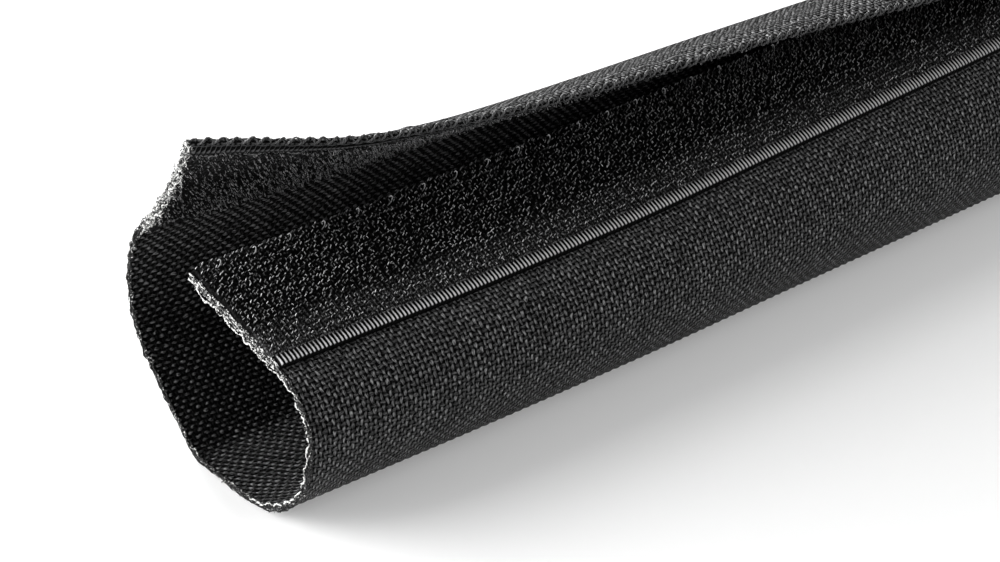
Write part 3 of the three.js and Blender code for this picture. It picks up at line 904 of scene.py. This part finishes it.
def bonded_thread(name, dark, light, twist_pitch):
    """Bonded polyester sewing thread: three plies, seen as slanting grooves along it, with painted shade in
    the grooves and a painted highlight on the plies.
    """
    material, tree = new_material(name)
    u, v = own_place(tree)
    turns = add(tree, MATH, [u, 1 / twist_pitch], operation="MULTIPLY")
    ply = add(tree, MATH, [v, PLIES], operation="MULTIPLY")
    phase = add(tree, MATH, [turns, ply], operation="ADD")
    wave = add(tree, MATH, [phase, 2 * math.pi], operation="MULTIPLY")
    height = add(tree, MATH, [wave], operation="COSINE")
    level = add(tree, RANGE, {"Value": height, "From Min": -1.0, "From Max": 1.0})
    # Painted light: dark in the grooves as shade, light on the plies as highlight.
    colour = add(tree, MIX, {0: level, 6: linear(dark), 7: linear(light)}, data_type="RGBA")
    normal = add(tree, "ShaderNodeBump", {"Strength": 0.8, "Distance": 0.00005, "Height": level})
    shader = add(tree, PRINCIPLED, {"Base Color": colour, "Roughness": 0.4, "Normal": normal})
    add(tree, "ShaderNodeOutputMaterial", {"Surface": shader})
    return material


seam_thread = bonded_thread("bonded polyester seam thread", "#101010", "#8c8c8d", 0.5)


def seam(name, across_cloth, side, replaced):
    """A lockstitched seam: the offset of each thread is its seat plus the fifth power of a sine, so that it
    stands out as a short bar in the middle of each stitch and is sunk round the needle holes."""
    stitches = round(SLEEVE_LENGTH / STITCH_LENGTH)
    along = np.linspace(0, SLEEVE_LENGTH, stitches * SEAM_STEPS + 1)
    dive = np.abs(np.sin(np.pi * along * stitches / SLEEVE_LENGTH)) ** 5
    tape_face = HALF_FABRIC + LAYER_GAP + TAPE_GROUND - SEAM_DIP
    top = side * (tape_face + SEAM_WIRE * (2.6 * dive - 1))
    under = -side * (HALF_FABRIC - SEAM_DIP + SEAM_WIRE * (2 * dive - 1))
    out, _, crosswise = axes_on_sheet(along, np.full(along.shape, across_cloth))
    paths = [on_sheet(along, across_cloth, height)[None] for height in (top, under)]
    parts = [tubes(path, SEAM_WIRE, 6, crosswise[None]) for path in paths]
    points, faces, uv = stack_tubes(parts)
    piece = new_piece(name, points, faces, uv, seam_thread)
    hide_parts(replaced)
    return piece


seams = [
    seam("seam_on_hook_tape_edge", SEAM_INSET, 1, "hook_tape_stitching_edge"),
    seam("seam_on_hook_tape_selvage", TAPE_WIDTH - SEAM_INSET, 1, "hook_tape_stitching_selvage"),
    seam("seam_on_loop_tape_inner", LOOP_TAPE_START + SEAM_INSET, -1, "loop_tape_stitching_inner"),
    seam("seam_on_loop_tape_edge", SHEET_WIDTH - SEAM_INSET, -1, "loop_tape_stitching_edge"),
]

# %% [markdown]
# ## The overlocked edge
#
# The outer flap's free edge is overlocked: thread loops wrap round the cloth and the tape together, about
# 1.45 mm apart, pinch them and stand out past the edge as a row of bumps. A flattened helix carries the
# outer loops, a thinner one that leans the other way fills the gaps, and a straight needle thread runs
# beside them on the inner face.

# %% Spun thread material and overlocking
OVERLOCK_PITCH = 1.45
OVERLOCK_STEPS = 16
OVERLOCK_REACH = 0.3

spun_thread = bonded_thread("spun polyester overlocking thread", "#020202", "#585859", 0.45)


def wrapped_thread(start, wire, clearance, lean, seed):
    """A helix flattened to a rounded box round the pinched edge: its sine and cosine are raised to a small
    power, and it leans along the sleeve by a share of the sine."""
    turns = math.floor((SLEEVE_LENGTH - OVERLOCK_PITCH) / OVERLOCK_PITCH)
    turn = np.linspace(0, 2 * np.pi * turns, turns * OVERLOCK_STEPS + 1)
    cosine, sine = np.cos(turn), np.sin(turn)
    along = OVERLOCK_PITCH * (start + turn / (2 * np.pi)) + lean * sine
    low = -(HALF_FABRIC + LAYER_GAP + TAPE_GROUND - TAPE_PINCH) - clearance
    high = HALF_FABRIC - CLOTH_PINCH + clearance
    inner_end = SHEET_WIDTH - OVERLOCK_REACH
    outer_end = SHEET_WIDTH + clearance
    reach = np.sign(cosine) * np.abs(cosine) ** 0.7
    lift = np.sign(sine) * np.abs(sine) ** 0.7
    across = (inner_end + outer_end) / 2 + reach * (outer_end - inner_end) / 2
    offset = (low + high) / 2 + lift * (high - low) / 2
    chance = np.random.default_rng(seed)
    along = along + 0.1 * smooth_noise(chance, turn.shape, OVERLOCK_STEPS)
    across = across + 0.04 * smooth_noise(chance, turn.shape, OVERLOCK_STEPS // 2)
    radius = wire * (1 + 0.25 * np.clip(cosine, 0, 1)) * (1 + 0.15 * smooth_noise(chance, turn.shape, 6))
    return tubes(on_sheet(along, across, offset)[None], radius[None], 6, np.array([1.0, 0.0, 0.0]))


def needle_thread(from_edge, wire):
    """The straight needle thread on the inner face, which sinks a little at every wrap."""
    along = np.arange(0, SLEEVE_LENGTH + 0.1, OVERLOCK_PITCH / 6)
    dip = 0.05 * np.cos(2 * np.pi * along / OVERLOCK_PITCH)
    across = np.full(along.shape, SHEET_WIDTH - from_edge)
    face = HALF_FABRIC + LAYER_GAP + TAPE_GROUND - TAPE_PINCH * pinched(across)
    path = on_sheet(along, across, -(face + wire / 2 + dip))
    return tubes(path[None], wire, 6, axes_on_sheet(along, across)[2][None])


wraps = [
    wrapped_thread(0.1, 0.11, 0.07, 0.35, 51),
    wrapped_thread(0.55, 0.08, 0.04, -0.3, 52),
    needle_thread(0.42, 0.06),
]
points, faces, uv = stack_tubes(wraps)
overlock = new_piece("overlock_threads", points, faces, uv, spun_thread)
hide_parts("overlock_edge_thread")

# %% [markdown]
# ## The hot-cut ends
#
# The sleeve was cut across with a hot blade, which melts the synthetic into a thin uneven bead and bleaches
# it almost white where it was hottest, at the ends of the two tapes. On the bare cloth only its inner
# border shows as a thin crinkled line. Seven wandering strands side by side give that lumpy bead, and
# nine hundred loose fibres stand out of the mouth, about half of them from the loop tape.

# %% Melted polymer material and cut edges
BEAD_STEP = 0.15
PLAIN_BEAD_STEP = 0.3
BEAD_SIDES = 6
STRANDS = 7


def melted_edge():
    """Polyester and nylon melted by a hot blade: small glossy lumps, near white where they foamed."""
    material, tree = new_material("hot-cut melted edge")
    pale = add(tree, "ShaderNodeAttribute", attribute_name="pale").node.outputs["Fac"]
    objects = tree.nodes.new("ShaderNodeTexCoord").outputs["Object"]
    patches = add(tree, NOISE, {"Vector": objects, "Scale": 4200.0, "Detail": 2.0})
    reach = add(tree, MATH, [pale, 0.42, patches], operation="MULTIPLY_ADD")
    level = add(tree, RANGE, {"Value": reach, "From Min": 0.7, "From Max": 0.9})
    colour = add(tree, MIX, {0: level, 6: linear("#0c0c0c"), 7: linear("#ececea")}, data_type="RGBA")
    normal = add(tree, "ShaderNodeBump", {"Strength": 0.8, "Distance": 0.0001, "Height": patches})
    shader = add(
        tree,
        PRINCIPLED,
        {"Base Color": colour, "Roughness": 0.4, "Normal": normal, "Specular IOR Level": 0.15},
    )
    add(tree, "ShaderNodeOutputMaterial", {"Surface": shader})
    return material


melted = melted_edge()


def paleness(across_cloth, share):
    """How far a strand is bleached, from about 0 to 1, by its place across the cloth and through the layers.

    Both tapes' ends are pale all through. Between them only the innermost strand is, and it is darker
    from about 46 to 79 mm across the cloth."""
    keys = [0, 15, 17.5, 34, 39, 46, 79, LOOP_TAPE_START + 1, 93, SHEET_WIDTH]
    innermost = np.interp(across_cloth, keys, [0.85, 0.8, 1.1, 1.1, 1.0, 0.35, 0.25, 0.9, 0.95, 0.7])
    others = np.interp(across_cloth, keys, [0.6, 0.55, 0.3, 0.2, 0.1, 0.05, 0.05, 0.7, 0.8, 0.5])
    return np.where(share < 0.1, innermost, others)


def cut_edge(name, distance, facing, bead_step, seed):
    """Strands of melted polymer along one end. Each keeps its share of the layers' thickness, wanders by a
    smooth noise through it and out of the end, and swells and thins at random."""
    chance = np.random.default_rng(seed)
    count = round(SHEET_WIDTH / bead_step)
    across = np.linspace(0.05, SHEET_WIDTH - 0.05, count)[None]
    share = np.linspace(0, 1, STRANDS)[:, None]
    shape = (STRANDS, count)
    on_hooks = np.clip((TAPE_WIDTH - across) / 0.3, 0, 1)
    on_loops = np.clip((across - LOOP_TAPE_START) / 0.3, 0, 1)
    low = -HALF_FABRIC - on_loops * (LAYER_GAP + TAPE_GROUND - TAPE_PINCH * pinched(across))
    low = low + CUT_PINCH * on_loops
    high = HALF_FABRIC + on_hooks * (LAYER_GAP + TAPE_GROUND - CUT_PINCH) - CLOTH_PINCH * pinched(across)
    crinkle = np.where(share < 0.1, 0.17, 0.1)
    offset = low + share * (high - low) + crinkle * smooth_noise(chance, shape, 5)
    swell = 1 + 0.45 * smooth_noise(chance, shape, 4)
    radius = np.maximum(0.068 * swell, 0.02)
    past = np.where(share < 0.1, 0.1, 0.02) + 0.06 * smooth_noise(chance, shape, 4)
    path = on_sheet(np.full(shape, distance), across + 0 * share, offset)
    path[..., 0] += facing * past
    out = axes_on_sheet(np.zeros(count), across[0])[0]
    points, faces, uv = tubes(path, radius, BEAD_SIDES, out[None])
    pale = paleness(across, share) + 0.1 * smooth_noise(chance, shape, 8)
    return new_piece(name, points, faces, uv, melted, np.repeat(pale.ravel(), BEAD_SIDES))


mouth_edge = cut_edge("cut_edge_mouth", 0.0, -1, BEAD_STEP, 31)
far_edge = cut_edge("cut_edge_far_end", SLEEVE_LENGTH, 1, PLAIN_BEAD_STEP, 32)

# %% Loose fibres at the mouth
FIBRE_COUNT = 900
FIBRE_WIRE = 0.035
FIBRE_STEPS = 5
FIBRE_SPREAD = 0.7

chance = np.random.default_rng(41)
on_loop_tape = chance.uniform(0, 1, FIBRE_COUNT) < 0.5
fibre_across = np.where(
    on_loop_tape,
    chance.uniform(LOOP_TAPE_START, SHEET_WIDTH, FIBRE_COUNT),
    chance.uniform(0, LOOP_TAPE_START, FIBRE_COUNT),
)
fibre_offset = chance.uniform(-HALF_FABRIC, HALF_FABRIC, FIBRE_COUNT)
fibre_offset = fibre_offset - on_loop_tape * chance.uniform(0, TAPE_GROUND + PILE_HEIGHT, FIBRE_COUNT)
base = on_sheet(np.zeros(FIBRE_COUNT), fibre_across, fibre_offset)
out, lengthwise, crosswise = axes_on_sheet(np.zeros(FIBRE_COUNT), fibre_across)
tilt = chance.normal(0, FIBRE_SPREAD, FIBRE_COUNT)[:, None]
slew = chance.normal(0, FIBRE_SPREAD, FIBRE_COUNT)[:, None]
aim = unit(-lengthwise + out * tilt + crosswise * slew)
bend = unit(np.cross(aim, chance.normal(0, 1, (FIBRE_COUNT, 3))))
length = (chance.uniform(0.12, 0.35, FIBRE_COUNT) * (1 + 0.7 * on_loop_tape))[:, None, None]
step = np.linspace(0, 1, FIBRE_STEPS)[:, None]
paths = base[:, None] + aim[:, None] * step * length + bend[:, None] * step**2 * length * 0.5
radius = FIBRE_WIRE * (1 - 0.5 * step[:, 0])
points, faces, uv = tubes(paths, radius, 3, np.cross(aim, bend)[:, None])
pale = np.repeat(chance.uniform(-0.4, 1.2, FIBRE_COUNT), len(points) // FIBRE_COUNT)
fibres = new_piece("loose_fibres_mouth", points, faces, uv, melted, pale)
